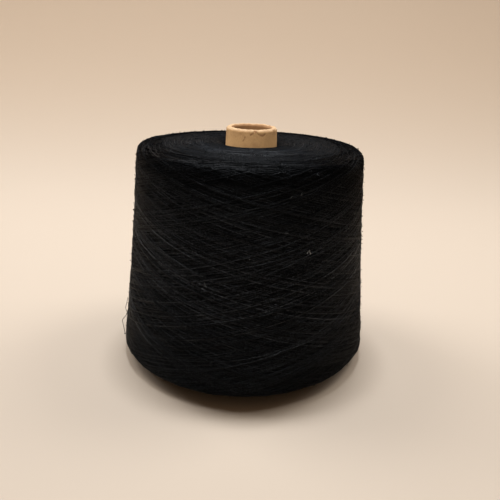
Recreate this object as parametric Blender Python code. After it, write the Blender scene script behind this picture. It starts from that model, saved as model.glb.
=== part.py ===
"""Cone of black yarn, cross-wound on a tapered paper cone.

Metres, +Z up.  The origin is on the axis, on the surface that the paper cone's base stands on.
The paper cone is a hollow turned tube.  The winding is a turned ring of yarn round it, with the
main bands of turns as two families of low helical ridges that cross each other.  One slack strand
stands off the winding's side near its foot.
"""

import math

import bmesh
import bpy
from mathutils import Vector

# Paper cone: a standard one, 170 mm long, that tapers 4 degrees 20 minutes a side.
CONE_LENGTH = 0.170
CONE_TAPER = math.radians(4.33)
NOSE_RADIUS = 0.0177
NOSE_TAPER = math.radians(2.0)
NOSE_LENGTH = 0.0150
PAPER_WALL = 0.0043
LIP_ROUND = 0.0019
BASE_ROUND = 0.0005

# Winding: a 150 mm (6 inch) traverse, which leaves the cone's base and nose bare.
BASE_BARE = 0.0065
TRAVERSE = 0.150
SHOULDER_RADIUS = 0.0799
FOOT_RADIUS = 0.0922
WAIST = 0.0009
SHOULDER_ROUND_ACROSS = 0.0032
SHOULDER_ROUND_DOWN = 0.0078
FOOT_ROUND_ACROSS = 0.0160
FOOT_ROUND_UP = 0.0050
CREST_RADIUS = 0.0290
CREST_RISE = 0.0034
RECESS_DEPTH = 0.0042
CLEARANCE = 0.0003

# Main bands of turns on the winding's side.
BANDS = 8
BAND_TURNS = 1.03
BAND_RELIEF = 0.0008

# Slack strand.
STRAND_DIAMETER = 0.0004
STRAND_POINTS = 46

SEGMENTS = 60
SIDE_ROWS = 30
ROUND_ROWS = 5
DOME_ROWS = 5
SMOOTH_ANGLE = math.radians(40)
RIGHT_ANGLE = math.pi / 2

WINDING_BOTTOM = BASE_BARE
SHOULDER_HEIGHT = BASE_BARE + TRAVERSE
CREST_HEIGHT = SHOULDER_HEIGHT + CREST_RISE
RECESS_HEIGHT = CREST_HEIGHT - RECESS_DEPTH
NOSE_FOOT_HEIGHT = CONE_LENGTH - NOSE_LENGTH
SIDE_TOP = SHOULDER_HEIGHT - SHOULDER_ROUND_DOWN
SIDE_BOTTOM = WINDING_BOTTOM + FOOT_ROUND_UP

# The slack strand's route: how far it stands off the side, at what height, and how many degrees
# round from its own middle.  It leaves the winding, bows out, dips back, and makes a kinked loop.
STRAND_AZIMUTH = math.radians(193.3)
STRAND_ROUTE = (
    # height, stand-off, degrees round
    (0.0430, 0.0007, -1.6),
    (0.0413, 0.0010, -1.1),
    (0.0397, 0.0013, -0.5),
    (0.0380, 0.0016, -0.1),
    (0.0362, 0.0020, 0.0),
    (0.0347, 0.0017, 0.2),
    (0.0327, 0.0010, 0.4),
    (0.0310, 0.0007, 0.4),
    (0.0295, 0.0012, 0.3),
    (0.0280, 0.0022, 0.2),
    (0.0265, 0.0032, 0.1),
    (0.0251, 0.0036, 0.0),
    (0.0230, 0.0032, -0.2),
    (0.0203, 0.0025, -0.4),
    (0.0174, 0.0018, -0.7),
    (0.0149, 0.0012, -1.1),
    (0.0126, 0.0008, -1.4),
)


def paper_radius(height):
    """The paper cone's outer radius at a height."""
    if height >= NOSE_FOOT_HEIGHT:
        return NOSE_RADIUS + (CONE_LENGTH - height) * math.tan(NOSE_TAPER)
    nose_foot = NOSE_RADIUS + NOSE_LENGTH * math.tan(NOSE_TAPER)
    return nose_foot + (NOSE_FOOT_HEIGHT - height) * math.tan(CONE_TAPER)


def side_radius(height):
    """The winding's outer radius on its tapered, slightly waisted side."""
    down = (SIDE_TOP - height) / (SIDE_TOP - SIDE_BOTTOM)
    straight = SHOULDER_RADIUS + (FOOT_RADIUS - SHOULDER_RADIUS) * down
    return straight - WAIST * 4 * down * (1 - down)


def arc(centre, across, up, start, end):
    """Points on an ellipse's arc in the radius and height plane, both ends included."""
    points = []
    for row in range(ROUND_ROWS + 1):
        angle = start + (end - start) * row / ROUND_ROWS
        points.append((centre[0] + across * math.cos(angle), centre[1] + up * math.sin(angle)))
    return points


def turned(name, outline):
    """A closed solid turned about the Z axis from a closed outline of (radius, height) points."""
    mesh = bpy.data.meshes.new(name)
    work = bmesh.new()
    ring = [work.verts.new((radius, 0.0, height)) for radius, height in outline]
    edges = [work.edges.new((ring[i], ring[(i + 1) % len(ring)])) for i in range(len(ring))]
    bmesh.ops.spin(
        work,
        geom=ring + edges,
        cent=(0.0, 0.0, 0.0),
        axis=(0.0, 0.0, 1.0),
        angle=math.tau,
        steps=SEGMENTS,
        use_merge=True,
    )
    bmesh.ops.recalc_face_normals(work, faces=work.faces)
    work.to_mesh(mesh)
    work.free()
    solid = bpy.data.objects.new(name, mesh)
    bpy.context.collection.objects.link(solid)
    mesh.shade_smooth()
    mesh.set_sharp_from_angle(angle=SMOOTH_ANGLE)
    return solid


def finish(name, colour, roughness):
    """A plain, non-metallic material."""
    material = bpy.data.materials.new(name)
    material.use_nodes = True
    shader = material.node_tree.nodes["Principled BSDF"]
    shader.inputs["Base Color"].default_value = (*colour, 1.0)
    shader.inputs["Roughness"].default_value = roughness
    shader.inputs["Metallic"].default_value = 0.0
    return material


def paper_outline():
    """The paper cone's wall: up its outside, over the rolled lip, down its bore to the base."""
    half_wall = PAPER_WALL / 2
    lip_height = CONE_LENGTH - LIP_ROUND
    lip_outer = paper_radius(lip_height)
    flat = half_wall - LIP_ROUND
    outline = [
        (paper_radius(BASE_ROUND), BASE_ROUND),
        (paper_radius(NOSE_FOOT_HEIGHT), NOSE_FOOT_HEIGHT),
    ]
    outer_centre = (lip_outer - LIP_ROUND, lip_height)
    inner_centre = (outer_centre[0] - 2 * flat, lip_height)
    outline += arc(outer_centre, LIP_ROUND, LIP_ROUND, 0, RIGHT_ANGLE)
    outline += arc(inner_centre, LIP_ROUND, LIP_ROUND, RIGHT_ANGLE, math.pi)
    outline += [
        (paper_radius(NOSE_FOOT_HEIGHT) - PAPER_WALL, NOSE_FOOT_HEIGHT),
        (paper_radius(BASE_ROUND) - PAPER_WALL, BASE_ROUND),
        (paper_radius(0) - PAPER_WALL + BASE_ROUND, 0),
        (paper_radius(0) - BASE_ROUND, 0),
    ]
    return outline


def winding_outline():
    """The winding: up its bore, recess, crest and dome, shoulder, side, foot and underside."""
    outline = [
        (paper_radius(WINDING_BOTTOM) + CLEARANCE, WINDING_BOTTOM),
        (paper_radius(NOSE_FOOT_HEIGHT) + CLEARANCE, NOSE_FOOT_HEIGHT),
    ]
    recess_width = CREST_RADIUS - paper_radius(RECESS_HEIGHT) - CLEARANCE
    recess_centre = (CREST_RADIUS, RECESS_HEIGHT)
    outline += arc(recess_centre, recess_width, RECESS_DEPTH, math.pi, RIGHT_ANGLE)
    dome_end = SHOULDER_RADIUS - SHOULDER_ROUND_ACROSS
    for row in range(1, DOME_ROWS):
        across = row / DOME_ROWS
        radius = CREST_RADIUS + (dome_end - CREST_RADIUS) * across
        outline.append((radius, CREST_HEIGHT - CREST_RISE * across**2))
    shoulder_centre = (dome_end, SIDE_TOP)
    outline += arc(shoulder_centre, SHOULDER_ROUND_ACROSS, SHOULDER_ROUND_DOWN, RIGHT_ANGLE, 0)
    for row in range(1, SIDE_ROWS):
        height = SIDE_TOP + (SIDE_BOTTOM - SIDE_TOP) * row / SIDE_ROWS
        outline.append((side_radius(height), height))
    foot_centre = (FOOT_RADIUS - FOOT_ROUND_ACROSS, SIDE_BOTTOM)
    outline += arc(foot_centre, FOOT_ROUND_ACROSS, FOOT_ROUND_UP, 0, -RIGHT_ANGLE)
    return outline


def band_relief(azimuth, height):
    """How far the crossing bands of turns lift or sink the side, from crossing top to hollow."""
    down = (SIDE_TOP - height) / (SIDE_TOP - SIDE_BOTTOM)
    fade = math.sqrt(max(0.0, math.sin(math.pi * down)))
    lift = 0.0
    for hand in (1, -1):
        lift += math.cos(BANDS * (azimuth + hand * BAND_TURNS * math.tau * down))
    return BAND_RELIEF / 4 * fade * lift


def make_paper_cone():
    cone = turned("paper_cone", paper_outline())
    cone.data.materials.append(finish("kraft_paper", (0.40, 0.24, 0.11), 0.75))
    return cone


def make_winding():
    winding = turned("yarn_winding", winding_outline())
    bore_reach = paper_radius(0) + CLEARANCE
    for vertex in winding.data.vertices:
        radius = math.hypot(vertex.co.x, vertex.co.y)
        if SIDE_BOTTOM < vertex.co.z < SIDE_TOP and radius > bore_reach:
            lift = band_relief(math.atan2(vertex.co.y, vertex.co.x), vertex.co.z)
            vertex.co.x *= 1 + lift / radius
            vertex.co.y *= 1 + lift / radius
    winding.data.materials.append(finish("black_yarn", (0.006, 0.006, 0.007), 0.85))
    return winding


def smooth_route(points, count):
    """Evenly many points on a smooth curve through the given ones (Catmull-Rom)."""
    ends = [2 * points[0] - points[1]] + points + [2 * points[-1] - points[-2]]
    spans = len(points) - 1
    route = []
    for step in range(count):
        at = spans * step / (count - 1)
        span = min(int(at), spans - 1)
        t = at - span
        a, b, c, d = ends[span : span + 4]
        square = (2 * a - 5 * b + 4 * c - d) * t**2
        cube = (3 * b - a - 3 * c + d) * t**3
        route.append((2 * b + (c - a) * t + square + cube) / 2)
    return route


def make_slack_strand():
    points = []
    for height, stand_off, degrees in STRAND_ROUTE:
        azimuth = STRAND_AZIMUTH + math.radians(degrees)
        radius = side_radius(height) + stand_off
        points.append(Vector((radius * math.cos(azimuth), radius * math.sin(azimuth), height)))
    curve = bpy.data.curves.new("slack_strand", "CURVE")
    curve.dimensions = "3D"
    curve.bevel_depth = STRAND_DIAMETER / 2
    curve.bevel_resolution = 2
    curve.use_fill_caps = True
    route = smooth_route(points, STRAND_POINTS)
    spline = curve.splines.new("POLY")
    spline.points.add(len(route) - 1)
    for place, point in zip(spline.points, route):
        place.co = (*point, 1.0)
    curve.materials.append(finish("slack_yarn", (0.012, 0.010, 0.009), 0.85))
    strand = bpy.data.objects.new("slack_strand", curve)
    bpy.context.collection.objects.link(strand)
    return strand


for old in list(bpy.data.objects):
    bpy.data.objects.remove(old)

part_origin = bpy.data.objects.new("cone_of_yarn", None)
bpy.context.collection.objects.link(part_origin)
for sub_part in (make_paper_cone(), make_winding(), make_slack_strand()):
    sub_part.parent = part_origin
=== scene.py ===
"""Cone of yarn: black yarn cross-wound on a kraft paper cone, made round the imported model."""

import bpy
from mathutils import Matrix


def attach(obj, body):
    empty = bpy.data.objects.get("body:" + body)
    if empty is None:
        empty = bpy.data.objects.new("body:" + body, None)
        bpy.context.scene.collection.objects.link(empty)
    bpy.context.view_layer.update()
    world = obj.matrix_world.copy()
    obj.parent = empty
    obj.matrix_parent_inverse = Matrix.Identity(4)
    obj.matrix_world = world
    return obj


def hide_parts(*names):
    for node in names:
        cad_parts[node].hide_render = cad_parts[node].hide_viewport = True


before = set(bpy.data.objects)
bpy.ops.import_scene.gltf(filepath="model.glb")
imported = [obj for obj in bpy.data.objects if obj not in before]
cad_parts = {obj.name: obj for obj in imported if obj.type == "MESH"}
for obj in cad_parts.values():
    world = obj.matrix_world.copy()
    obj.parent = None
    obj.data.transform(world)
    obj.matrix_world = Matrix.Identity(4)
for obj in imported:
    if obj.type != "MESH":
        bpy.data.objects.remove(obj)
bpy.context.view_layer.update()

from collections import namedtuple
from math import atan2, copysign, cos, exp, hypot, pi, radians, sin, sqrt, tan, tau

import bmesh
import bpy
import numpy as np
from bpy.props import FloatProperty, FloatVectorProperty, IntProperty, PointerProperty
from bpy.types import Operator, Panel, PropertyGroup
from mathutils import Matrix, Vector, noise

bl_info = {
    "name": "Cone of yarn",
    "version": (1, 0, 0),
    "blender": (4, 5, 0),
    "location": "View3D > Sidebar > Yarn",
    "description": "A cross-wound package of fine black yarn on a tapered paper cone",
    "category": "Object",
}

MM = 0.001
RIGHT_ANGLE = pi / 2
BODY = "root"
WINDING_SEED = 7
FUZZ_SEED = 23


# ------------ sizes and colours


def setting(kind, **unit):
    """A maker of settings of one kind, from a name, a description and a default."""
    return lambda name, description, default: kind(
        name=name, description=description, default=default, **unit
    )


length_setting = setting(FloatProperty, unit="LENGTH")
angle_setting = setting(FloatProperty, subtype="ANGLE")
number_setting = setting(FloatProperty)
count_setting = setting(IntProperty)
colour_setting = setting(FloatVectorProperty, size=3, subtype="COLOR")


class PaperConeSettings(PropertyGroup):
    """The tapered tube that the yarn is wound on."""

    length: length_setting("Length", "Height from base to lip", 0.170)
    taper: angle_setting("Taper", "Taper of each side below the nose", radians(4.33))
    nose_radius: length_setting("Nose radius", "Outer radius at the lip", 0.0177)
    nose_length: length_setting("Nose length", "Height of the almost straight nose", 0.0150)
    nose_taper: angle_setting("Nose taper", "Taper of each side of the nose", radians(2.0))
    wall: length_setting("Wall", "Thickness of the rolled paper", 0.0043)
    lip_round: length_setting("Lip rounding", "Radius of the rolled lip", 0.0019)
    colour: colour_setting("Kraft", "Colour of the clean kraft paper", (0.60, 0.36, 0.158))
    # the rubbed colour is also used as the painted shade inside the bore
    rubbed_and_bore_shade: colour_setting("Rubbed", "Colour where hands and spindles have rubbed it", (0.27, 0.135, 0.055))
    lip: colour_setting("Lip", "Colour of the bare, fluffy paper at the lip", (0.50, 0.35, 0.205))


class WindingSettings(PropertyGroup):
    """The wound form, and the yarn laid on it."""

    base_bare: length_setting("Bare base", "Height of the paper cone left bare under the yarn", 0.0065)
    traverse: length_setting("Traverse", "Height that the yarn guide travels", 0.150)
    shoulder_radius: length_setting("Shoulder radius", "Radius at the top of the side", 0.0799)
    foot_radius: length_setting("Foot radius", "Radius at the bottom of the side", 0.0922)
    strand_diameter: length_setting("Yarn diameter", "Width of one strand", 0.00049)
    turns: number_setting("Turns", "Turns round the package in one stroke", 1.125)
    top_arcs: count_setting("Top turns", "Short turns that show on the top face", 1150)
    foot_arcs: count_setting("Foot turns", "Short turns that show on the underside", 820)
    fibres: count_setting("Stray fibres", "Fine hairs that stand off the yarn", 4200)
    loops: count_setting("Loops", "Tiny loops and curled ends that roughen the outline", 2000)
    colour: colour_setting("Yarn", "Colour of the black yarn", (0.0043, 0.0049, 0.0058))
    lint: colour_setting("Lint", "Colour of the pale specks of lint", (0.20, 0.20, 0.19))


class StageSettings(PropertyGroup):
    """The floor, the lights and the camera."""

    floor: colour_setting("Floor", "Colour of the plain floor", (0.582, 0.496, 0.405))
    # painted shade: the wall behind is painted darker than the floor
    wall: colour_setting("Wall", "Colour of the floor where it curves up behind", (0.515, 0.405, 0.302))
    brightness: number_setting("Brightness", "How strong all the lights are", 1.0)
    sky: number_setting("Room light", "Strength of the light all round", 0.13)


# ------------ outlines

# a rounding runs so far across and so far up
SHOULDER_ROUND = (3.2 * MM, 7.8 * MM)
FOOT_ROUND = (16.0 * MM, 5.0 * MM)
WAIST = 0.9 * MM
CREST_RADIUS = 29.0 * MM
CREST_RISE = 3.4 * MM
RECESS_DEPTH = 4.2 * MM
CLEARANCE = 0.3 * MM
# how the winding differs from round, and the heights or radii from which it does, and fully
TOP_DROP = 1.3 * MM
TOP_DROP_AT = radians(107)
TOP_DROP_FROM = (0.138, 0.152)
NOSE_DROP = 0.4 * MM
NOSE_DROP_FROM = (0.062, 0.036)
DENT = 2.4 * MM
DENT_AT = radians(314)
DENT_FROM = (0.028, 0.012)


def paper_radius(height):
    """The paper cone's outer radius at a height."""
    cone = bpy.context.scene.paper_cone
    nose_foot = cone.length - cone.nose_length
    if height >= nose_foot:
        return cone.nose_radius + (cone.length - height) * tan(cone.nose_taper)
    nose_foot_radius = cone.nose_radius + cone.nose_length * tan(cone.nose_taper)
    return nose_foot_radius + (nose_foot - height) * tan(cone.taper)


def arc(centre, across, up, start, end, rows):
    """Points on an ellipse's arc in the radius and height plane, both ends included."""
    angles = np.linspace(start, end, rows + 1)
    return [(centre[0] + across * cos(a), centre[1] + up * sin(a)) for a in angles]


def side_radius(height):
    """The winding's outer radius on its tapered, slightly waisted side."""
    winding = bpy.context.scene.winding
    top = winding.base_bare + winding.traverse - SHOULDER_ROUND[1]
    bottom = winding.base_bare + FOOT_ROUND[1]
    down = (top - height) / (top - bottom)
    straight = winding.shoulder_radius + (winding.foot_radius - winding.shoulder_radius) * down
    return straight - WAIST * 4 * down * (1 - down)


def in_space(turn, radius, height):
    """Points in space at angles round the axis, radii and heights."""
    return np.stack([radius * np.cos(turn), radius * np.sin(turn), height], -1)


def eased(value, low, high):
    """The value as a share of the way from low to high, from 0 to 1, with soft ends."""
    share = np.clip((value - low) / (high - low), 0, 1)
    return share * share * (3 - 2 * share)


def out_of_round(turn, radius, height):
    """The radii and heights as the winding really stands: lower behind, its foot pressed in."""
    behind = np.clip(np.cos(turn - TOP_DROP_AT), 0, 1) ** 2
    from_dent = turn % tau - DENT_AT
    pressed = np.clip(np.cos(from_dent * 1.6), 0, 1) ** 2 * (np.abs(from_dent) < 1.0)
    drop = TOP_DROP * behind + NOSE_DROP * eased(radius, *NOSE_DROP_FROM)
    drop = drop * eased(height, *TOP_DROP_FROM)
    return radius - DENT * pressed * eased(height, *DENT_FROM), height - drop


def distances(points):
    """How far along a line of points each one is."""
    return np.concatenate([[0], np.cumsum(np.linalg.norm(np.diff(points, axis=0), axis=1))])


class Outline:
    """The winding's outline from the recess round the nose, over the top, down to its bore.

    Distances run down the outline, in metres.  Marks are the distances where its parts begin.
    """

    STEP = 0.2 * MM
    SOFTEN = 7

    def __init__(self):
        winding = bpy.context.scene.winding
        shoulder = winding.base_bare + winding.traverse
        crest = shoulder + CREST_RISE
        recess = crest - RECESS_DEPTH
        side_top = shoulder - SHOULDER_ROUND[1]
        side_bottom = winding.base_bare + FOOT_ROUND[1]
        dome_end = winding.shoulder_radius - SHOULDER_ROUND[0]
        foot_end = winding.foot_radius - FOOT_ROUND[0]
        bore = paper_radius(winding.base_bare) + CLEARANCE
        recess_width = CREST_RADIUS - paper_radius(recess) - CLEARANCE

        parts = {
            "recess": arc((CREST_RADIUS, recess), recess_width, RECESS_DEPTH, pi, RIGHT_ANGLE, 24),
            "dome": [
                (CREST_RADIUS + (dome_end - CREST_RADIUS) * t, crest - CREST_RISE * t * t)
                for t in np.linspace(0, 1, 60)
            ],
            "shoulder": arc((dome_end, side_top), *SHOULDER_ROUND, RIGHT_ANGLE, 0, 40),
            "side": [(side_radius(z), z) for z in np.linspace(side_top, side_bottom, 120)],
            "foot": arc((foot_end, side_bottom), *FOOT_ROUND, 0, -RIGHT_ANGLE, 40),
            "underside": [(foot_end, winding.base_bare), (bore, winding.base_bare)],
        }
        points = []
        self.mark = {}
        for name, part in parts.items():
            self.mark[name] = len(points)
            points += part if not points else part[1:]
        points = np.array(points)
        gone = distances(points)
        self.mark = {name: gone[index] for name, index in self.mark.items()}
        self.length = gone[-1]
        self.at = np.arange(0, self.length, self.STEP)
        place = np.stack([np.interp(self.at, gone, points[:, i]) for i in (0, 1)], 1)
        self.place = self.soften(place)
        along = np.gradient(self.place, axis=0)
        along /= np.linalg.norm(along, axis=1)[:, None]
        self.out = np.stack([-along[:, 1], along[:, 0]], 1)

    def soften(self, place):
        """The same line with its corners eased, its ends held."""
        window = np.hanning(2 * self.SOFTEN + 1)
        window /= window.sum()
        padded = np.pad(place, ((self.SOFTEN, self.SOFTEN), (0, 0)), mode="reflect", reflect_type="odd")
        return np.stack([np.convolve(padded[:, i], window, "valid") for i in (0, 1)], 1)

    def radius(self, down):
        """The winding's radius at distances down the outline."""
        return np.interp(down, self.at, self.place[:, 0])

    def down_to(self, height):
        """How far down the outline the side reaches a height."""
        side = slice(int(self.mark["side"] / self.STEP), int(self.mark["foot"] / self.STEP))
        return np.interp(height, self.place[side, 1][::-1], self.at[side][::-1])

    def lifted(self, down, lift):
        """Radii and heights at distances down the outline and lifts off it."""
        radius, height, out, up = (np.interp(down, self.at, line) for line in (*self.place.T, *self.out.T))
        return radius + out * lift, height + up * lift

    def points(self, turn, down, lift):
        """Points in space at angles round the axis, distances down the outline and lifts off it."""
        return in_space(turn, *out_of_round(turn, *self.lifted(down, lift)))


# ------------ node trees


class Wire:
    """A node's output.  Sums and products of wires become Math nodes."""

    def __init__(self, socket):
        self.socket = socket

    def maths(self, operation, *terms):
        """The output of a Math node on this wire and the terms, each a number or a wire."""
        tree = self.socket.id_data
        node = tree.nodes.new("ShaderNodeMath")
        node.operation = operation
        for entry, term in zip(node.inputs, (self, *terms)):
            if isinstance(term, Wire):
                tree.links.new(term.socket, entry)
            else:
                entry.default_value = term
        return Wire(node.outputs[0])

    def __add__(self, term):
        return self.maths("ADD", term)

    def __mul__(self, term):
        return self.maths("MULTIPLY", term)


def adder(tree):
    """A function that adds a node to the tree, with values and wires, and returns an output."""

    def add(kind, values=None, wires=None, out=0, **fields):
        node = tree.nodes.new(kind)
        for field, value in fields.items():
            setattr(node, field, value)
        for entry, value in (values or {}).items():
            node.inputs[entry].default_value = value
        for entry, wire in (wires or {}).items():
            tree.links.new(wire.socket, node.inputs[entry])
        return Wire(node.outputs[out]) if node.outputs else None

    return add


def new_material(name):
    """An empty material and the function that adds nodes to it."""
    material = bpy.data.materials.new(name)
    material.use_nodes = True
    material.node_tree.nodes.clear()
    return material, adder(material.node_tree)


def coordinate(add, axis):
    """The object coordinate along an axis."""
    return add("ShaderNodeSeparateXYZ", wires={0: add("ShaderNodeTexCoord", out="Object")}, out=axis)


def attribute(add, name, out="Fac"):
    """The mesh's own attribute of that name."""
    return add("ShaderNodeAttribute", out=out, attribute_name=name)


def blended(add, share, first, second):
    """A mix of two colours, each a wire or three numbers, by a wire."""
    values, wires = {}, {0: share}
    for entry, colour in ((6, first), (7, second)):
        if isinstance(colour, Wire):
            wires[entry] = colour
        else:
            values[entry] = (*colour, 1.0)
    return add("ShaderNodeMix", values, wires, out=2, data_type="RGBA")


def ramp(add, source, low, high):
    """The source as a share of the way from low to high, from 0 to 1, with soft ends."""
    values = {"From Min": low, "From Max": high}
    return add("ShaderNodeMapRange", values, {"Value": source}, interpolation_type="SMOOTHSTEP")


def speckle(add, scale, detail=3.0, roughness=0.5, stretch=(1, 1, 1)):
    """Noise on object coordinates, about one blob for each 1 / scale metres."""
    where = add("ShaderNodeTexCoord", out="Object")
    mapped = add("ShaderNodeMapping", {"Scale": stretch}, {"Vector": where})
    values = {"Scale": scale, "Detail": detail, "Roughness": roughness}
    return add("ShaderNodeTexNoise", values, {"Vector": mapped}, out="Fac")


def shaded(add, colour, shade):
    """A colour made lighter or darker by a wire."""
    return add("ShaderNodeVectorMath", {0: colour}, {"Scale": shade}, operation="SCALE")


def surface(add, values, wires):
    """The material's own shader, with these values and wires."""
    shader = add("ShaderNodeBsdfPrincipled", values, wires)
    add("ShaderNodeOutputMaterial", wires={"Surface": shader})


def matt_surface(add, colour, height, strength, depth, roughness, specular):
    """A matt surface with bumps of that strength and depth; its constants are on its own sockets."""
    bump = add("ShaderNodeBump", {"Strength": strength, "Distance": depth}, {"Height": height})
    values, wires = {}, {"Base Color": colour, "Normal": bump, "Roughness": roughness}
    (wires if isinstance(specular, Wire) else values)["Specular IOR Level"] = specular
    surface(add, values, wires)


# ------------ materials

PLY_TWIST = 2.4 * MM
YARN_SPECULAR = 0.118
UNDER_PITCH = 0.62 * MM
UNDER_STARTS = 240.0


def yarn_material(name, colour):
    """Twisted yarn: two plies that spiral along each strand, with hairs, uneven dye, and the painted light
    and shade carried in each strand's tone.
    """
    material, add = new_material(name)
    run, tone, around = attribute(add, "run"), attribute(add, "tone"), attribute(add, "around", "Vector")
    x, y = (add("ShaderNodeSeparateXYZ", wires={0: around}, out=axis) for axis in "XY")
    phase = run * (tau / PLY_TWIST)
    plies = (phase.maths("SINE") * x + phase.maths("COSINE") * y).maths("ABSOLUTE")
    hairs = speckle(add, 5200, 2.0, 0.7)
    own = add("ShaderNodeCombineXYZ", wires={0: run, 1: tone * 7.0})
    noise_values = {"Scale": 190.0, "Detail": 3.0, "Roughness": 0.6}
    dye = ramp(add, add("ShaderNodeTexNoise", noise_values, {"Vector": own}, out="Fac"), 0.3, 0.7)
    grain = ramp(add, speckle(add, 1500, 2.0, 0.6), 0.36, 0.64)
    # the tone attribute carries the painted light and shade laid on each strand, besides its own tone
    shade = tone * (dye * 1.1 + 0.45) * (grain * 1.4 + 0.3) * (plies * 0.8 + 0.5)
    top_behind = ramp(add, coordinate(add, "Y"), -0.055, -0.015)
    top_behind = top_behind * ramp(add, coordinate(add, "Z"), 0.140, 0.150)
    dyed = shaded(add, colour, shade * (top_behind * 1.3 + 1.0))
    gloss = shade * (top_behind * -0.85 + 1.0) * YARN_SPECULAR
    matt_surface(add, dyed, plies + hairs * 0.55, 0.75, 0.12 * MM, hairs * 0.25 + 0.27, gloss)
    return material


def under_material(colour):
    """The yarn under the top layers: two families of fine turns that cross, as relief, painted darker as
    shade between the strands and darkest in the grooves.
    """
    material, add = new_material("under_turns")
    turn = coordinate(add, "Y").maths("ARCTAN2", coordinate(add, "X"))
    wander = speckle(add, 60, 2.0)
    climb = coordinate(add, "Z") * (tau / UNDER_PITCH)
    rising, falling = (
        (turn * (UNDER_STARTS * hand) + climb + wander * 9.0).maths("SINE") for hand in (1, -1)
    )
    relief = rising.maths("MAXIMUM", falling)
    # painted shade: the yarn between the strands is darker, darkest in the grooves
    dyed = shaded(add, colour, relief * 0.25 + 0.4)
    matt_surface(add, dyed, relief, 0.8, 0.3 * MM, wander * 0.2 + 0.7, YARN_SPECULAR / 3)
    return material


def lint_material(colour):
    """Pale dust, uneven, each speck as light as its own tone."""
    material, add = new_material("lint")
    dust = speckle(add, 900, 2.0)
    pale = shaded(add, colour, attribute(add, "tone") * (dust + 0.6))
    matt_surface(add, pale, dust, 0.3, 0.05 * MM, dust * 0.2 + 0.7, 0.2)
    return material


def paper_material(cone):
    """Kraft paper: rolled plies, bare at the lip, rubbed and nicked, with painted shade inside the bore.
    """
    material, add = new_material("kraft_paper")
    fibre = speckle(add, 1400, 4.0, 0.6, (1, 1, 0.5))
    stain = speckle(add, 90, 4.0, 0.6)
    scuff = speckle(add, 420, 5.0, 0.65)
    at_lip = ramp(add, coordinate(add, "Z"), cone.length - 0.0016, cone.length - 0.0005)
    rubbed = ((ramp(add, scuff, 0.46, 0.62) + 0.3) * attribute(add, "wear")).maths("MINIMUM", 1.0)
    colour = cone.colour
    for share, tint in (
        (ramp(add, stain, 0.42, 0.72) * 0.45, cone.rubbed_and_bore_shade),
        (ramp(add, fibre, 0.35, 0.75) * 0.22, cone.rubbed_and_bore_shade),
        (at_lip * 0.85, cone.lip),
        (rubbed, cone.rubbed_and_bore_shade),
        # painted shade: the bore's inner wall is painted in the rubbed colour
        (attribute(add, "inside") * 0.88, cone.rubbed_and_bore_shade),
    ):
        colour = blended(add, share, colour, tint)
    matt_surface(add, colour, fibre + scuff * 0.8, 0.35, 0.15 * MM, fibre * 0.2 + 0.72, 0.3)
    return material


# ------------ making meshes


def in_scene(name, data):
    """A new object in the scene."""
    thing = bpy.data.objects.new(name, data)
    bpy.context.scene.collection.objects.link(thing)
    return thing


def placed(mesh, material, slot, *replaced):
    """Makes a mesh a finished object on the body, lit with the paper or the yarn by its slot name, and
    hides any nodes it replaces.
    """
    mesh.materials.append(material)
    piece = in_scene(mesh.name, mesh)
    lit_pieces("paper" if slot == "kraft_paper" else "yarn").objects.link(piece)
    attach(piece, BODY)
    if replaced:
        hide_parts(*replaced)
    return piece


def turned(name, outline, segments):
    """A closed mesh turned about the Z axis from a closed outline of (radius, height) points."""
    mesh = bpy.data.meshes.new(name)
    work = bmesh.new()
    ring = [work.verts.new((radius, 0.0, height)) for radius, height in outline]
    edges = [work.edges.new((ring[i - 1], ring[i])) for i in range(len(ring))]
    bmesh.ops.spin(
        work, geom=ring + edges, cent=(0, 0, 0), axis=(0, 0, 1),
        angle=tau, steps=segments, use_merge=True,
    )
    bmesh.ops.recalc_face_normals(work, faces=work.faces)
    work.to_mesh(mesh)
    work.free()
    mesh.shade_smooth()
    return mesh


class Strand:
    """One length of yarn or fibre: its points, its thickness at each and how light it is."""

    def __init__(self, points, radius, tone):
        self.points = points
        self.radius = np.broadcast_to(radius, len(points))
        self.tone = np.broadcast_to(tone, len(points))
        self.run = distances(points)


def tube_nodes(sides):
    """Geometry Nodes that turn a mesh of edges into closed tubes with that many sides."""
    tree = bpy.data.node_groups.new(f"tubes_{sides}", "GeometryNodeTree")
    tree.interface.new_socket("Lines", in_out="INPUT", socket_type="NodeSocketGeometry")
    tree.interface.new_socket("Tubes", in_out="OUTPUT", socket_type="NodeSocketGeometry")
    add = adder(tree)
    curves = add("GeometryNodeMeshToCurve", wires={"Mesh": add("NodeGroupInput")})
    thickness = add("GeometryNodeInputNamedAttribute", {"Name": "thickness"}, data_type="FLOAT")
    ring = add("GeometryNodeCurvePrimitiveCircle", {"Resolution": sides, "Radius": 1.0}, mode="RADIUS")
    around = add(
        "GeometryNodeStoreNamedAttribute", {"Name": "around"},
        {"Geometry": ring, "Value": add("GeometryNodeInputPosition")},
        data_type="FLOAT_VECTOR", domain="POINT",
    )
    sweep = add(
        "GeometryNodeCurveToMesh", {"Fill Caps": True},
        {"Curve": curves, "Profile Curve": around, "Scale": thickness},
    )
    smooth = add("GeometryNodeSetShadeSmooth", wires={"Geometry": sweep})
    add("NodeGroupOutput", wires={0: smooth})
    return tree


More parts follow.
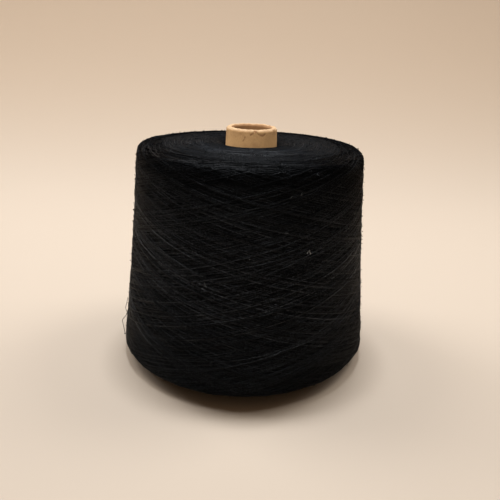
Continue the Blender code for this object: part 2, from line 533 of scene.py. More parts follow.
def tubes(name, strands, sides):
    """One mesh of closed tubes along strands, with each one's run, tone and side as attributes."""
    lines = bpy.data.meshes.new(name)
    number = np.repeat(np.arange(len(strands)), [len(strand.points) for strand in strands])
    first = np.flatnonzero(number[1:] == number[:-1])
    points = np.concatenate([strand.points for strand in strands])
    lines.from_pydata(points.tolist(), np.stack([first, first + 1], 1).tolist(), [])
    for field, values in (
        ("thickness", np.concatenate([strand.radius for strand in strands])),
        ("tone", np.concatenate([strand.tone for strand in strands])),
        ("run", np.concatenate([strand.run for strand in strands])),
        ("strand", number),
    ):
        layer = lines.attributes.new(field, "FLOAT", "POINT")
        layer.data.foreach_set("value", values.astype(np.float32))
    carrier = in_scene(name, lines)
    carrier.modifiers.new("tubes", "NODES").node_group = tube_nodes(sides)
    graph = bpy.context.evaluated_depsgraph_get()
    mesh = bpy.data.meshes.new_from_object(carrier.evaluated_get(graph), depsgraph=graph)
    bpy.data.objects.remove(carrier)
    bpy.data.meshes.remove(lines)
    mesh.name = name
    lay_out_tubes(mesh, len(strands), sides)
    return mesh


def read(items, field, kind=np.float32, width=1):
    """A field of all the items of a mesh, as one array with a row for each."""
    found = np.empty(len(items) * width, kind)
    items.foreach_get(field, found)
    return found.reshape(-1, width).squeeze()


def lay_out_tubes(mesh, count, sides):
    """A UV map with one straight strip for each tube, so that a texture follows the yarn."""
    run, strand = (read(mesh.attributes[name].data, "value") for name in ("run", "strand"))
    around = read(mesh.attributes["around"].data, "vector", width=3)
    side = np.round(np.arctan2(around[:, 1], around[:, 0]) / tau * sides) % sides
    corner = read(mesh.loops, "vertex_index", np.int32)
    start = read(mesh.polygons, "loop_start", np.int32)
    face = np.repeat(np.arange(len(start)), np.diff(np.append(start, len(corner))))
    corner_side = side[corner]
    wraps = np.maximum.reduceat(corner_side, start) - np.minimum.reduceat(corner_side, start) > sides / 2
    corner_side = np.where(wraps[face] & (corner_side < sides / 2), corner_side + sides, corner_side)
    across = (strand[corner] + 0.1 + 0.8 * corner_side / sides) / count
    place = np.stack([run[corner] / run.max(), across], 1)
    mesh.uv_layers.new(name="OFBake").data.foreach_set("uv", place.astype(np.float32).ravel())


# ------------ laying the yarn


def smoothed(values, reach):
    """Running means over that many neighbours on each side, nearer ones counting more."""
    window = np.hanning(2 * reach + 3)[1:-1]
    return np.convolve(np.pad(values, reach, mode="edge"), window / window.sum(), "valid")


# one strand on the package: turns round, distances down the outline, lifts off it, size, tone
Laid = namedtuple("Laid", "turn down lift radius tone")


class Package:
    """How high the yarn laid so far stands, on a grid of turns round and distance down."""

    COLUMNS = 1200
    CELL = 0.4 * MM
    FINE_STEP = 1.0 * MM
    STRIDE = 7
    PRESS = 0.30
    WIDTH = ((-1, 0.15), (0, 0.36), (1, 0.15))
    FILLED = 80
    BACKING = 0.25 * MM

    def __init__(self, outline):
        self.outline = outline
        self.rows = int(outline.length / self.CELL) + 1
        self.height = np.zeros((self.rows, self.COLUMNS))

    def cells(self, turn, down):
        """The grid cells along a path."""
        rows = np.clip((down / self.CELL).astype(int), 1, self.rows - 2)
        return rows, (turn / tau * self.COLUMNS).astype(int) % self.COLUMNS

    def load(self, turn, down):
        """How high the yarn already stands along a path, on average."""
        return float(np.mean(self.height[self.cells(turn, down)]))

    def lay(self, turn, down, radius, tone, lift=0.0):
        """Lays a strand over what is there, pulled tight, and returns it at every few steps."""
        rows, columns = self.cells(turn, down)
        under = np.max([self.height[rows + off, columns] for off in (-1, 0, 1)], axis=0)
        centre = 0.5 * (smoothed(under, 3) + under) + self.PRESS * radius + lift
        for off, share in self.WIDTH:
            np.maximum.at(self.height, (rows + off, columns), centre + share * radius)
        keep = np.unique(np.append(np.arange(0, len(turn), self.STRIDE), len(turn) - 1))
        return Laid(turn[keep], down[keep], centre[keep], radius, tone)

    def settle(self):
        """Finds how far all the yarn sinks, at each distance down, to fill the outline."""
        self.sink = smoothed(np.percentile(self.height, self.FILLED, axis=1), 12)

    def sunk(self, down):
        """How far the yarn sinks at distances down the outline."""
        return np.interp(down, (np.arange(self.rows) + 0.5) * self.CELL, self.sink)

    def strand(self, laid):
        """The strand in space, once all the yarn has settled."""
        points = self.outline.points(laid.turn, laid.down, laid.lift - self.sunk(laid.down))
        foot = self.outline.mark["foot"]
        calm = 1 - 0.6 * eased(laid.down, foot - 45 * MM, foot - 8 * MM)
        # the tone is multiplied by the painted light and shade worked out below
        tone = laid.tone**calm * self.painted_light_and_shade(laid.turn, laid.down) * self.raked(laid.turn, laid.down)
        return Strand(points, laid.radius, tone)

    def raked(self, turn, down):
        """Painted highlights and painted shade on the left and right: strands of one slant painted
        lighter, of the other darker.
        """
        slope = np.gradient(down) / (np.gradient(turn) * self.outline.radius(down))
        slant = np.clip(slope * np.cos(turn) / 0.2, -1, 1)
        share = eased(np.abs(np.cos(turn)), 0.5, 1.0)
        return 1 - share * (0.80 * np.clip(slant, 0, 1) - 0.55 * np.clip(-slant, 0, 1))

    PAINTED_LIGHT_ALONG_OUTLINE = (
        # part of the outline, mm down from where it begins, how light the yarn is painted: painted shade
        # in the recess, the crease and towards the foot, painted light on the top near the nose
        ("recess", 0, 0.10),
        ("dome", 0, 0.53),
        ("dome", 8, 0.70),
        ("dome", 14, 0.66),
        ("dome", 20, 0.40),
        ("dome", 30, 0.23),
        ("shoulder", -5, 0.25),
        ("side", 0, 0.40),
        ("side", 3, 0.64),
        ("side", 10, 0.80),
        ("side", 20, 0.90),
        ("side", 34, 1.0),
        ("foot", -45, 1.0),
        ("foot", -15, 0.78),
        ("foot", 0, 0.62),
    )

    def painted_light_and_shade(self, turn, down):
        """How light the yarn is painted: painted shade in the recess, the crease under the shoulder,
        towards the foot, behind on the top and on the flanks, and painted light on the top's front corners
        and low on the left.
        """

        def between(low_part, low, high_part, high):
            mark = self.outline.mark
            return eased(down, mark[low_part] + low * MM, mark[high_part] + high * MM)

        places = [(self.outline.mark[part] + gone * MM, light) for part, gone, light in self.PAINTED_LIGHT_ALONG_OUTLINE]
        across, away = np.cos(turn), np.sin(turn)
        on_right = across > 0
        # painted shade on the top, behind and to the right
        behind = 0.42 * np.clip(np.sin(turn - radians(25)), 0, 1) + 0.18 * np.clip(across, 0, 1)
        behind = behind * between("side", 0, "shoulder", 0)
        # painted light on the top towards the front, more on the left
        beside = np.clip(-2 * away * np.abs(across), 0, 1) * np.where(on_right, 0.25, 0.85)
        beside = beside * between("dome", 0, "dome", 8) * between("shoulder", 4, "shoulder", -5)
        # painted shade on the flanks just under the shoulder
        flank = eased(np.abs(across), 0.2, 0.7) * np.where(on_right, 0.30, 0.17)
        flank = flank * between("shoulder", 0, "side", 0) * between("side", 34, "side", 10)
        # painted light low on the left side
        low_left = 0.25 * eased(-across, 0.6, 0.95)
        low_left = low_left * between("side", 50, "side", 85) * between("foot", -12, "foot", -30)
        light = np.interp(down, *zip(*places))
        return light * (1 - behind) * (1 + beside) * (1 - flank) * (1 + low_left)


def waver(rng, count, step, lengths, size):
    """Smooth sideways wander along a strand: waves of the given lengths, added up."""
    along = np.arange(count) * step
    wander = np.zeros(count)
    for length in lengths:
        wander += np.sin(along * tau / length + rng.uniform(0, tau)) * rng.normal()
    return size * wander / sqrt(len(lengths))


class Traverse:
    """The yarn's way up and down the side: strokes that turn back near the shoulder and foot."""

    TURN_BACK = (16 * MM, 46 * MM)
    PAST_SHOULDER = (-2.0, 4.0, 18.0)
    PAST_FOOT = (-10.0, 8.0, 15.0)
    WAVES = (0.16, 0.09, 0.05, 0.021)
    WANDER = 0.20 * MM
    CREEP = 0.0125
    UNEVEN = 0.005

    def __init__(self, outline, rng):
        self.outline = outline
        self.rng = rng
        self.turn = 0.0
        self.down = self.apex(True)

    def apex(self, top):
        """Where a stroke turns back: a little way past the shoulder, or round the foot."""
        if top:
            return self.outline.mark["shoulder"] - self.rng.triangular(*self.PAST_SHOULDER) * MM
        return self.outline.mark["foot"] + self.rng.triangular(*self.PAST_FOOT) * MM

    def stroke(self, index, turns):
        """The next stroke, as turns round and distances down at even fine steps."""
        downward = index % 2 == 0
        start, end = self.down, self.apex(not downward)
        backs = self.rng.uniform(*self.TURN_BACK, 2)
        advance = turns * tau + self.rng.normal(0, self.UNEVEN) + (0 if downward else self.CREEP)
        radius = 0.5 * (self.outline.radius(start) + self.outline.radius(end))
        for _ in range(3):
            length = advance * radius
            slope = abs(end - start) / (length - backs.sum() / 2)
            at = np.linspace(0, length, int(length / Package.FINE_STEP))
            gone = slope * (at - backs[0] / 2)
            near = at < backs[0]
            gone[near] = slope * at[near] ** 2 / (2 * backs[0])
            left = length - at
            near = left < backs[1]
            gone[near] = abs(end - start) - slope * left[near] ** 2 / (2 * backs[1])
            down = start + copysign(1, end - start) * gone
            radii = self.outline.radius(down)
            radius *= advance / float(np.sum(np.diff(at) / radii[1:]))
        turn = self.turn + np.concatenate([[0], np.cumsum(np.diff(at) / radii[1:])])
        held = np.clip(np.sin(pi * at / length), 0, 1) ** 0.4
        down = down + held * waver(self.rng, len(at), at[1], self.WAVES, self.WANDER)
        self.turn, self.down = float(turn[-1]), float(down[-1])
        return turn, down


LAYERS = (
    # strokes, sides of the strand, how light it is painted: the inner layers darker, as painted shade
    (200, 3, 0.80),
    (200, 4, 0.86),
    (190, 5, 0.93),
    (190, 5, 1.02),
)
SLACK_SHARE = 0.06
TONES = (-0.13, 0.52)


def wind_side(package, rng):
    """The side's strands in their order from the inside out, as lists, one for each layer."""
    winding = bpy.context.scene.winding
    traverse = Traverse(package.outline, rng)
    index = 0
    for strokes, _, depth in LAYERS:
        strands = []
        for _ in range(strokes):
            turn, down = traverse.stroke(index, winding.turns)
            radius = winding.strand_diameter / 2 * rng.uniform(0.85, 1.12)
            lift = slack_lift(rng, len(turn)) if rng.random() < SLACK_SHARE else 0.0
            # painted shade: strands of the inner layers are made darker
            tone = depth * rng.lognormal(*TONES)
            strands.append(package.lay(turn, down, radius, tone, lift))
            index += 1
        yield strands


SEEN_TURNS = (
    # degrees round and height in mm where it comes to the surface and where it goes under, tone painted
    # lighter as a highlight
    (205, 146.0, 224, 138.0, 1.3),
    (226, 137.4, 238, 131.2, 1.8),
    (234, 152.0, 290, 130.0, 1.1),
    (200, 126.5, 260, 101.5, 1.2),
    (207, 110.6, 249, 89.6, 1.4),
    (203, 105.0, 247, 83.5, 1.3),
    (206, 83.8, 262, 62.5, 1.7),
    (207, 70.5, 243, 59.0, 1.2),
    (236, 117.0, 272, 102.8, 1.3),
    (246, 133.0, 294, 116.0, 1.6),
    (243, 75.5, 281, 91.0, 1.3),
    (256, 69.9, 304, 91.5, 1.6),
    (280, 93.5, 303, 106.5, 1.8),
    (299, 88.8, 336, 101.5, 1.4),
    (300, 102.5, 335, 112.5, 1.4),
    (247.5, 30.3, 320, 51.0, 2.0),
    (258, 94.0, 300, 112.0, 1.3),
    (276, 68.8, 298, 80.0, 1.2),
)
GOES_UNDER = 9.0


def seen_turns(package, rng):
    """The strands that lie on top and catch the light in front, their tone raised as painted highlights.
    """
    strands = []
    for start, high, end, low, tone in SEEN_TURNS:
        degrees = np.arange(start - GOES_UNDER, end + GOES_UNDER, 0.6)
        height = high + (low - high) / (end - start) * (degrees - start)
        down = package.outline.down_to(height * MM)
        down = down + waver(rng, len(degrees), 0.9 * MM, (0.05, 0.021), 0.10 * MM)
        outside = np.maximum(np.maximum(start - degrees, degrees - end), 0) / GOES_UNDER
        radius = bpy.context.scene.winding.strand_diameter / 2 * rng.uniform(0.9, 1.1)
        lift = 0.05 * MM - 0.9 * MM * outside**1.5
        strands.append(package.lay(np.radians(degrees), down, radius, tone, lift))
    return strands


def slack_lift(rng, count):
    """How far a looser strand stands off the others along its way."""
    centre = rng.uniform(0.15, 0.85) * count
    width = rng.uniform(18, 60)
    return rng.uniform(0.10, 0.35) * MM * np.exp(-(((np.arange(count) - centre) / width) ** 2))


FACE_TRIES = 5


def face_path(package, rng, start, end, outward):
    """The way of one short turn on an end face, and how far it dips at both ends."""
    down = start + (end - start) * sqrt(rng.uniform(0, 1))
    half = rng.uniform(13, 34) * MM
    at = np.arange(-half, half, Package.FINE_STEP)
    middle = package.outline.radius(down)
    share = at / half
    tilt = tan(rng.normal(0, radians(5)))
    bow = outward * rng.uniform(0.3, 2.2) * MM
    path = down + tilt * at + bow * share**2
    path = path + waver(rng, len(at), Package.FINE_STEP, (0.05, 0.022), 0.15 * MM)
    path = np.clip(path, 1.0 * MM, package.outline.length - 1.0 * MM)
    turn = rng.uniform(0, tau) + at / middle
    dip = -rng.uniform(0.4, 1.0) * MM * share**4
    return turn, path, dip


def face_turns(package, rng, count, start, end, outward):
    """The short turns that show on an end face, each where the yarn stands lowest."""
    strands = []
    for _ in range(count):
        tries = [face_path(package, rng, start, end, outward) for _ in range(FACE_TRIES)]
        turn, path, dip = min(tries, key=lambda found: package.load(*found[:2]))
        radius = bpy.context.scene.winding.strand_diameter / 2 * rng.uniform(0.85, 1.1)
        out = float(package.outline.radius(path.mean()))
        uneven = 0.18 + 0.6 * eased(out, 0.035, 0.042) - 0.38 * eased(out, 0.050, 0.064)
        uneven *= 1 - 0.6 * eased(sin(float(turn.mean())), -0.6, 0.1)
        strands.append(package.lay(turn, path, radius, rng.lognormal(-0.1, uneven), dip))
    return strands


# ------------ operators


class YARN_OT_winding(Operator):
    """Makes the winding's body and every strand that shows on it"""

    bl_idname = "yarn.winding"
    bl_label = "Winding"

    def execute(self, context):
        winding = context.scene.winding
        rng = np.random.default_rng(WINDING_SEED)
        outline = Outline()
        package = Package(outline)
        mark = outline.mark

        faces = {
            "foot_turns": (winding.foot_arcs, outline.length, mark["foot"] + 8 * MM, -1, 4),
            "top_turns": (winding.top_arcs, 0.0, mark["shoulder"] + 2 * MM, 1, 5),
        }
        made = {}
        for name, (*places, sides) in faces.items():
            made[name] = face_turns(package, rng, *places), sides
        for number, (strands, (_, sides, _)) in enumerate(zip(wind_side(package, rng), LAYERS), 1):
            made[f"side_layer_{number}"] = strands, sides
        made["seen_turns"] = seen_turns(package, rng), 6
        package.settle()
        yarn = yarn_material("black_yarn", winding.colour)
        for name, (strands, sides) in made.items():
            mesh = tubes(name, [package.strand(laid) for laid in strands], sides)
            placed(mesh, yarn, "black_yarn", "yarn_winding")
        self.body(context, package)
        return {"FINISHED"}

    def body(self, context, package):
        """The yarn inside, a turned solid whose surface lies under the strands."""
        outline, mark = package.outline, package.outline.mark
        coarse = np.concatenate([
            np.arange(0, mark["side"], 1.0 * MM),
            np.arange(mark["side"], mark["foot"], 2.0 * MM),
            np.arange(mark["foot"], outline.length, 1.5 * MM),
            [outline.length - outline.STEP],
        ])
        lift = package.BACKING - package.sunk(coarse)
        ring = list(zip(*outline.lifted(coarse, lift)))
        cone = context.scene.paper_cone
        nose_foot = cone.length - cone.nose_length
        ring.append((paper_radius(nose_foot) + CLEARANCE, nose_foot - 2 * MM))
        mesh = turned("winding_body", ring, 180)
        for vertex in mesh.vertices:
            x, y, z = vertex.co
            turn = atan2(y, x)
            vertex.co = in_space(turn, *out_of_round(turn, hypot(x, y), z))
        placed(mesh, under_material(context.scene.winding.colour), "black_yarn", "yarn_winding")


NICKS = (
    # degrees round, height, width, depth
    (246.5, 166.7, 0.8, 0.20),
    (331.0, 168.8, 1.2, 0.25),
    (30.0, 168.4, 1.8, 0.40),
    (112.0, 168.9, 1.5, 0.35),
    (171.0, 167.2, 1.4, 0.35),
)
TEAR_WIDTH = 0.42
TEAR_DEPTH = 0.22 * MM
OUT_OF_ROUND = 0.12 * MM
LIP_WAVES = 0.16 * MM
LIP_DROP = 0.35 * MM
LIP_ZONE = 8 * MM
NOSE_SHIFT = 0.35 * MM
NOSE_SHIFT_FROM = (0.135, 0.155)
TEARS = (
    # how deep, then points in degrees round and height
    (1.0, (269.0, 166.8), (275.5, 169.2), (281.3, 168.5), (285.5, 167.3), (294.4, 166.6), (300.5, 167.2)),
    (0.3, (256.0, 165.3), (253.0, 163.0), (249.5, 160.8)),
    (0.6, (62.0, 168.0), (70.0, 166.6), (83.0, 166.9)),
)


def tear_share(across, height, points):
    """How much a tear through the points shows at a place, in mm."""
    place = np.array((across, height))
    nearest = 9.0
    for start, end in zip(points, points[1:]):
        step = end - start
        along = np.clip(np.dot(place - start, step) / np.dot(step, step), 0, 1)
        nearest = min(nearest, float(np.linalg.norm(place - start - along * step)))
    return exp(-((nearest / TEAR_WIDTH) ** 2))


class YARN_OT_paper_cone(Operator):
    """Makes the kraft paper cone, a thick rolled tube that the yarn is wound on"""

    bl_idname = "yarn.paper_cone"
    bl_label = "Paper cone"

    def execute(self, context):
        cone = context.scene.paper_cone
        mesh = turned("paper_tube", self.outline(cone), 200)
        self.wear(mesh, cone)
        placed(mesh, paper_material(cone), "kraft_paper", "paper_cone")
        return {"FINISHED"}

    def outline(self, cone):
        """The wall's closed outline: up the outside, over the lip, down the bore, along the base."""
        nose_foot = cone.length - cone.nose_length
        lip = cone.length - cone.lip_round
        heights = np.concatenate([
            np.linspace(0.0005, nose_foot - 0.002, 26),
            np.linspace(nose_foot - 0.001, lip, 24),
        ])
        outer = [(paper_radius(z), z) for z in heights]
        inner = [(paper_radius(z) - cone.wall, z) for z in heights[::-1]]
        bend = cone.lip_round
        out_top = arc((outer[-1][0] - bend, lip), bend, bend, 0, RIGHT_ANGLE, 7)
        in_top = arc((inner[0][0] + bend, lip), bend, bend, RIGHT_ANGLE, pi, 7)
        foot = paper_radius(0.0)
        base = [(foot - cone.wall + 0.0005, 0.0), (foot - 0.0005, 0.0)]
        return outer + out_top[1:] + in_top[:-1] + inner + base

    def wear(self, mesh, cone):
        """Pushes the tube out of round, dents its lip, marks its worn parts and marks its inner parts for
        painted shade.
        """
        round_mm = cone.nose_radius / MM
        tears = [
            (depth, [np.array((radians(degrees) * round_mm, height)) for degrees, height in route])
            for depth, *route in TEARS
        ]
        wear = mesh.attributes.new("wear", "FLOAT", "POINT")
        # marks the bore's inner wall, which the material paints with shade
        inside = mesh.attributes.new("inside", "FLOAT", "POINT")
        for index, vertex in enumerate(mesh.vertices):
            x, y, z = vertex.co
            radius = hypot(x, y)
            turn = atan2(y, x)
            side = Vector((cos(turn), sin(turn), 0))
            middle = paper_radius(z) - cone.wall / 2
            is_inside = radius < middle - cone.wall * 0.3
            near_lip = max(0.0, 1 - (cone.length - z) / LIP_ZONE)
            out = OUT_OF_ROUND * noise.noise(side * 1.1 + Vector((0, 0, z * 20)))
            out += LIP_WAVES * near_lip * noise.noise(side * 4.0 + Vector((3, 0, z * 150)))
            drop = LIP_DROP * max(0.0, near_lip - 0.7) / 0.3 * noise.noise(side * 5.5)
            mark = 0.35 * near_lip
            for degrees, height, width, depth in [] if is_inside else NICKS:
                across = ((turn - radians(degrees) + pi) % tau - pi) * radius
                away = hypot(across, z - height * MM) / (width * MM)
                fade = exp(-(away**2)) if away < 3 else 0.0
                out -= depth * MM * fade
                mark += 1.2 * fade
            for depth, route in [] if is_inside or near_lip <= 0 else tears:
                share = depth * tear_share(turn % tau * round_mm, z / MM, route)
                out -= TEAR_DEPTH * share
                mark += 2.4 * share
            vertex.co += side * out - Vector((0, 0, drop))
            vertex.co.x += NOSE_SHIFT * float(eased(z, *NOSE_SHIFT_FROM))
            wear.data[index].value = min(2.6, mark)
            inside.data[index].value = 1.0 if is_inside else 0.0


STRAND_AZIMUTH = radians(193.3)
STRAND_DIAMETER = 0.4 * MM
STRAND_POINTS = 46
STRAND_TONE = 3.5
STRAND_ROUTE = (
    # height, distance off the winding, degrees round from the azimuth
    (0.0430, 0.0007, -1.6),
    (0.0413, 0.0010, -1.1),
    (0.0397, 0.0013, -0.5),
    (0.0380, 0.0016, -0.1),
    (0.0362, 0.0020, 0.0),
    (0.0347, 0.0017, 0.2),
    (0.0327, 0.0010, 0.4),
    (0.0310, 0.0007, 0.4),
    (0.0295, 0.0012, 0.3),
    (0.0280, 0.0022, 0.2),
    (0.0265, 0.0032, 0.1),
    (0.0251, 0.0036, 0.0),
    (0.0230, 0.0032, -0.2),
    (0.0203, 0.0025, -0.4),
    (0.0174, 0.0018, -0.7),
    (0.0149, 0.0012, -1.1),
    (0.0126, 0.0008, -1.4),
)


def smooth_route(points, count):
    """Evenly many points on a smooth curve through the given ones (Catmull-Rom)."""
    ends = np.array([2 * points[0] - points[1], *points, 2 * points[-1] - points[-2]])
    at = np.linspace(0, len(points) - 1, count)
    span = np.minimum(at.astype(int), len(points) - 2)
    t = (at - span)[:, None]
    a, b, c, d = (ends[span + i] for i in range(4))
    square = (2 * a - 5 * b + 4 * c - d) * t**2
    cube = (3 * b - a - 3 * c + d) * t**3
    return (2 * b + (c - a) * t + square + cube) / 2


def beside_winding(height, stand_off, degrees):
    """A point off the winding's side, at a height and degrees round from the azimuth."""
    return in_space(STRAND_AZIMUTH + radians(degrees), side_radius(height) + stand_off, height)


class YARN_OT_slack_strand(Operator):
    """Makes the strand that stands slack off the winding near its foot"""

    bl_idname = "yarn.slack_strand"
    bl_label = "Slack strand"

    def execute(self, context):
        route = smooth_route([beside_winding(*place) for place in STRAND_ROUTE], STRAND_POINTS)
        strand = Strand(route, STRAND_DIAMETER / 2, STRAND_TONE)
        mesh = tubes("slack_yarn", [strand], 10)
        yarn = yarn_material("slack_yarn", context.scene.winding.colour)
        piece = placed(mesh, yarn, "slack_yarn", "slack_strand")
        return {"FINISHED"}


class YARN_OT_fuzz(Operator):
    """Makes the fine hairs that stand off the yarn, and the pale specks of lint"""

    bl_idname = "yarn.fuzz"
    bl_label = "Fuzz and lint"

    def execute(self, context):
        winding = context.scene.winding
        rng = np.random.default_rng(FUZZ_SEED)
        outline = Outline()
        hairs = [self.hair(outline, rng) for _ in range(winding.fibres)]
        hairs += [self.loop(outline, rng) for _ in range(winding.loops)]
        hairs.append(self.knot(rng))
        mesh = tubes("stray_fibres", hairs, 3)
        placed(mesh, yarn_material("stray_fibres", winding.colour), "black_yarn")
        mesh = tubes("lint", self.specks(outline, rng), 4)
        placed(mesh, lint_material(winding.lint), "black_yarn")
        return {"FINISHED"}

    def hair(self, outline, rng):
        """One hair: rooted between strands, leaning along the surface, its tip standing off."""
        ends = 6 * MM, outline.mark["underside"] - 4 * MM
        start = rng.uniform(*ends)
        while rng.random() > outline.radius(start) / 0.093:
            start = rng.uniform(*ends)
        length = min(rng.gamma(3.0, 0.42), 4.0) * MM
        lean = rng.uniform(0, tau)
        share = np.linspace(0, 1, 4)
        curl = rng.normal(0, 0.7)
        across = length * share * np.cos(lean + curl * share)
        along = length * share * np.sin(lean + curl * share)
        rise = length * rng.uniform(0.1, 0.75) * share ** rng.uniform(0.8, 1.6)
        turn = rng.uniform(0, tau) + across / outline.radius(start)
        points = outline.points(turn, np.clip(start + along, 0, outline.length - MM), rise - 0.15 * MM)
        radius = rng.uniform(0.030, 0.070) * MM * np.array((1, 1, 0.8, 0.4))
        return Strand(points, radius, rng.uniform(0.8, 2.5))

    def loop(self, outline, rng):
        """One tiny loop: both ends in the yarn, its middle pulled up into a short curl."""
        start = rng.uniform(10 * MM, outline.mark["foot"] + 4 * MM)
        length = rng.uniform(0.9, 2.2) * MM
        lean = rng.uniform(0, tau)
        share = np.linspace(-0.5, 0.5, 5)
        rise = rng.uniform(0.35, 1.25) * MM * (1 - 4 * share**2) - 0.1 * MM
        turn = rng.uniform(0, tau) + length * share * cos(lean) / outline.radius(start)
        points = outline.points(turn, start + length * share * sin(lean), rise)
        radius = rng.uniform(0.09, 0.20) * MM * np.array((0.6, 1, 1.2, 1, 0.6))
        return Strand(points, radius, rng.uniform(0.4, 1.2))

    def knot(self, rng):
        """The small tangle where the slack strand goes back into the winding."""
        middle = beside_winding(*STRAND_ROUTE[-1]) - (0, 0, 0.1 * MM)
        curls = np.cumsum(rng.normal(0, 1.4, (18, 3)), axis=0)
        return Strand(middle + 0.32 * MM * np.sin(curls), 0.24 * MM, 0.3)

    def specks(self, outline, rng):
        """The specks of lint: those in the table, and some more on the sides away from it."""
        table = list(LINT)
        for _ in range(MORE_LINT):
            place = rng.uniform(-40, 220), rng.uniform(20, 140)
            table.append((*place, rng.uniform(0.5, 1.8), rng.uniform(0, 180), rng.uniform(0.3, 0.8)))
        share = np.linspace(-0.5, 0.5, 5)
        rise = 1 - 4 * share**2
        strands = []
        for degrees, height, length, slant, pale in table:
            height, length, tilt = height * MM, length * MM, radians(slant)
            bend = rng.normal(0, 0.12) * length
            turn = radians(degrees) + length * share * cos(tilt) / side_radius(height)
            down = float(outline.down_to(height)) - length * share * sin(tilt) + bend * rise
            points = outline.points(turn, down, (0.42 + 0.25 * rise) * MM)
            radius = rng.uniform(0.09, 0.14) * MM * np.array((0.5, 1, 1.1, 0.9, 0.4))
            strands.append(Strand(points, radius, pale))
        return strands


MORE_LINT = 26
LINT = (
    # degrees round, height in mm, length in mm, slant in degrees, how pale
    (271.3, 103.1, 0.7, 40.0, 0.8),
    (296.8, 105.7, 2.4, 64.0, 1.3),
    (297.9, 105.5, 3.4, 106.0, 2.2),
    (292.7, 142.2, 2.2, 62.0, 0.30),
    (292.9, 141.3, 1.2, 100.0, 0.30),
    (288.1, 140.8, 2.0, 55.0, 0.32),
    (295.3, 136.5, 0.7, 20.0, 0.35),
    (299.0, 130.5, 0.9, 75.0, 0.35),
    (286.7, 118.7, 2.6, -12.0, 0.55),
    (328.8, 122.4, 2.4, 4.0, 0.85),
    (253.1, 84.2, 4.2, 118.0, 0.50),
    (270.8, 44.7, 0.6, 10.0, 0.6),
)


CAMERA_PLACE = (0.0, -0.3942, 0.2264)
CAMERA_PITCH = 0.3611
CAMERA_YAW = 0.0064
CAMERA_ROLL = 0.0401
FOCAL_PIXELS = 554.8
FRAME_PIXELS = 500.0
BEND_START = 0.40
BEND_RADIUS = 0.70
FLOOR_REACH = 3.0
ROOM_COLOUR = (1.0, 0.70, 0.47, 1.0)
AIM = Vector((0, 0, 0.08))
COOL = (0.96, 1.0, 1.06)
WARM = (1.0, 0.98, 0.96)
WARMER = (1.0, 0.97, 0.93)
LIGHTS = (
    # name, place, size, watts, colour, what it falls on
    ("key", (-0.01, 0.092, 1.25), (0.26, 0.11), 16.5, COOL, "yarn paper"),
    ("overhead", (-0.01, 0.111, 1.25), (0.30, 0.11), 11.385, COOL, "floor"),
    ("beside_left", (-0.56, 0.24, 1.15), (0.45, 0.45), 4.3, WARM, "floor"),
    ("beside_right", (0.56, 0.24, 1.15), (0.45, 0.45), 4.128, WARMER, "floor"),
    ("left", (-1.0, 0.50, 0.80), (0.7, 0.7), 5.8, WARM, "floor paper"),
    ("right", (1.0, 0.50, 0.80), (0.7, 0.7), 4.0, WARMER, "floor paper"),
    ("top", (-0.08, 0.02, 1.2), (1.2, 0.5), 17.0, (0.95, 1.0, 1.06), "yarn"),
    ("low_left", (-1.1, -0.15, 0.10), (0.6, 0.2), 1.8, (0.97, 1.0, 1.03), "yarn"),
    ("low_right", (1.1, -0.10, 0.10), (0.6, 0.2), 1.08, (1.0, 0.98, 0.95), "yarn"),
    ("front", (-0.1, -0.85, 0.95), (0.6, 0.6), 3.0, (0.98, 1.0, 0.99), "yarn"),
    ("fill_left", (-0.6, -0.65, 0.9), (0.6, 0.6), 9.4, WARM, "paper"),
    ("fill_right", (0.7, -0.55, 0.7), (0.6, 0.6), 3.102, WARM, "paper"),
)


def lit_pieces(what):
    """The collection of what a light may fall on: yarn, paper or floor."""
    name = f"lit_{what}"
    return bpy.data.collections.get(name) or bpy.data.collections.new(name)


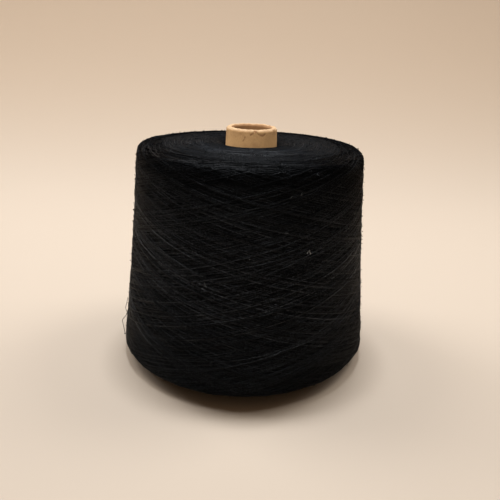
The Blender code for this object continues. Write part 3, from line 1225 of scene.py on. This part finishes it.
class YARN_OT_stage(Operator):
    """Makes the floor, the lights and the camera"""

    bl_idname = "yarn.stage"
    bl_label = "Stage"

    def execute(self, context):
        settings = context.scene.stage
        self.camera(context)
        self.floor(settings)
        self.lights(context, settings)
        return {"FINISHED"}

    def camera(self, context):
        """A level camera turned and tipped onto the cone, then rolled a little."""
        data = bpy.data.cameras.new("camera")
        data.sensor_width = 36.0
        data.sensor_fit = "HORIZONTAL"
        data.lens = data.sensor_width * FOCAL_PIXELS / FRAME_PIXELS
        data.clip_start = 0.01
        camera = in_scene("camera", data)
        level = Vector((
            sin(CAMERA_YAW) * cos(CAMERA_PITCH),
            cos(CAMERA_YAW) * cos(CAMERA_PITCH),
            -sin(CAMERA_PITCH),
        ))
        turn = level.to_track_quat("-Z", "Y").to_matrix() @ Matrix.Rotation(CAMERA_ROLL, 3, "Z")
        camera.matrix_world = Matrix.Translation(CAMERA_PLACE) @ turn.to_4x4()
        context.scene.camera = camera

    def floor(self, settings):
        """A plain floor that curves up into a wall behind, with no edge in view."""
        line = [(-FLOOR_REACH, 0.0), (-0.6, 0.0), (BEND_START, 0.0)]
        line += [
            (BEND_START + BEND_RADIUS * sin(a), BEND_RADIUS * (1 - cos(a)))
            for a in np.linspace(0, RIGHT_ANGLE, 25)[1:]
        ]
        line.append((line[-1][0], FLOOR_REACH))
        mesh = bpy.data.meshes.new("floor")
        work = bmesh.new()
        rows = [[work.verts.new((x, y, z)) for y, z in line] for x in (-FLOOR_REACH, FLOOR_REACH)]
        for i in range(len(line) - 1):
            work.faces.new((rows[0][i], rows[1][i], rows[1][i + 1], rows[0][i + 1]))
        work.to_mesh(mesh)
        work.free()
        mesh.shade_smooth()
        floor = in_scene("floor", mesh)
        material, add = new_material("floor")
        # painted shade: the floor is painted darker where it curves up into the wall
        rise = ramp(add, coordinate(add, "Y"), BEND_START, 1.0)
        values = {"Roughness": 0.9, "Specular IOR Level": 0.1}
        colour = blended(add, rise, settings.floor, settings.wall)
        surface(add, values, {"Base Color": colour})
        mesh.materials.append(material)
        lit_pieces("floor").objects.link(floor)

    def lights(self, context, settings):
        """The light all round, and lamps that each fall only on what their row says."""
        world = bpy.data.worlds.new("room")
        world.use_nodes = True
        background = world.node_tree.nodes["Background"]
        background.inputs["Color"].default_value = ROOM_COLOUR
        background.inputs["Strength"].default_value = settings.sky
        context.scene.world = world
        for name, place, size, watts, colour, lit in LIGHTS:
            data = bpy.data.lights.new(name, "AREA")
            data.shape = "RECTANGLE"
            data.size, data.size_y = size
            data.energy = watts * settings.brightness
            data.color = colour
            light = in_scene(name, data)
            light.location = place
            light.rotation_euler = (AIM - Vector(place)).to_track_quat("-Z", "Y").to_euler()
            receivers = bpy.data.collections.new(f"{name}_receivers")
            for what in lit.split():
                receivers.children.link(lit_pieces(what))
            light.light_linking.receiver_collection = receivers
        context.scene.view_settings.view_transform = "Standard"


class YARN_PT_panel(Panel):
    """Lists the cone's sizes and pieces"""

    bl_idname = "YARN_PT_panel"
    bl_label = "Cone of yarn"
    bl_space_type = "VIEW_3D"
    bl_region_type = "UI"
    bl_category = "Yarn"

    def draw(self, context):
        for settings in (context.scene.paper_cone, context.scene.winding, context.scene.stage):
            box = self.layout.box()
            for name in settings.__annotations__:
                box.prop(settings, name)
        for operator in OPERATORS:
            self.layout.operator(operator.bl_idname)


SETTINGS = {"paper_cone": PaperConeSettings, "winding": WindingSettings, "stage": StageSettings}
OPERATORS = (
    YARN_OT_stage, YARN_OT_slack_strand, YARN_OT_paper_cone, YARN_OT_winding, YARN_OT_fuzz,
)


def register():
    for cls in (*SETTINGS.values(), *OPERATORS, YARN_PT_panel):
        bpy.utils.register_class(cls)
    for name, group in SETTINGS.items():
        setattr(bpy.types.Scene, name, PointerProperty(type=group))


def unregister():
    for name in SETTINGS:
        delattr(bpy.types.Scene, name)
    for cls in reversed((*SETTINGS.values(), *OPERATORS, YARN_PT_panel)):
        bpy.utils.unregister_class(cls)


def main():
    """Makes every piece in order."""
    register()
    bpy.ops.yarn.stage()
    bpy.ops.yarn.slack_strand()
    bpy.ops.yarn.paper_cone()
    bpy.ops.yarn.winding()
    bpy.ops.yarn.fuzz()


if __name__ == "__main__":
    main()
